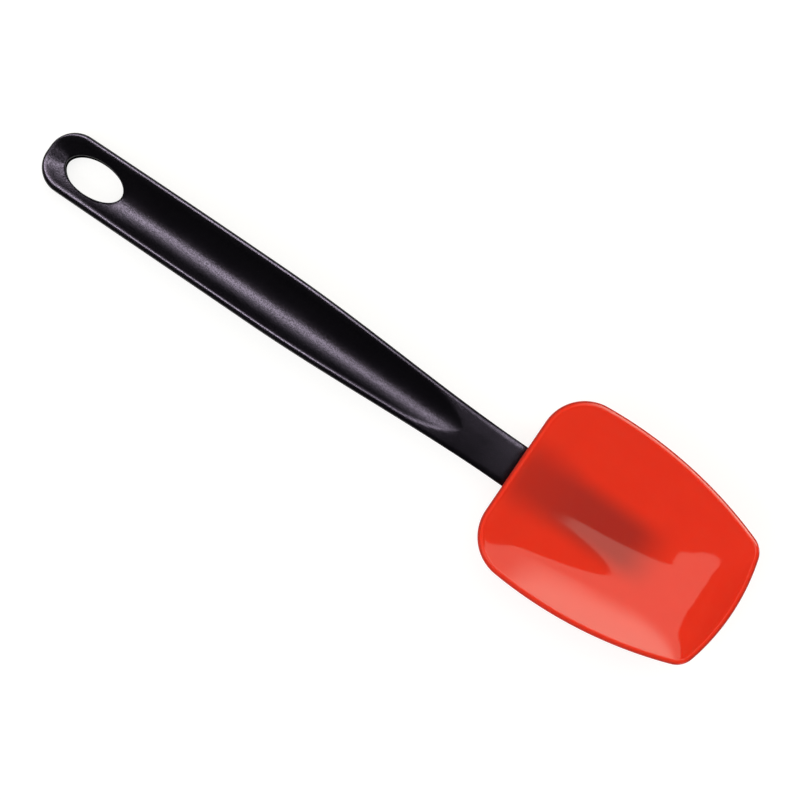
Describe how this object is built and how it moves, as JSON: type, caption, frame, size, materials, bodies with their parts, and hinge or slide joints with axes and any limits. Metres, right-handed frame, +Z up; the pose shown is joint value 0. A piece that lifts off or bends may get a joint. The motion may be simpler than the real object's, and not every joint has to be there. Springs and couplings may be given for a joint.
{
  "type": "silicone spoon",
  "caption": "Kitchen spoon with a shallow squared red silicone bowl and a black nylon handle that has a finger channel and a hanging hole.",
  "frame": {"origin": "middle of the spoon's length and width, on the table it lies on", "axes": "+X along the spoon from the butt to the tip of the bowl, +Z up out of the bowl, +Y across; the spoon mirrors in the XZ plane"},
  "size_m": [0.2712, 0.067, 0.017],
  "materials": {
    "handle": "fine moulded grain, satin black nylon",
    "head": "glossy translucent red silicone"
  },
  "bodies": {
    "root": {"handle": "handle", "head": "head"}
  },
  "joints": []
}
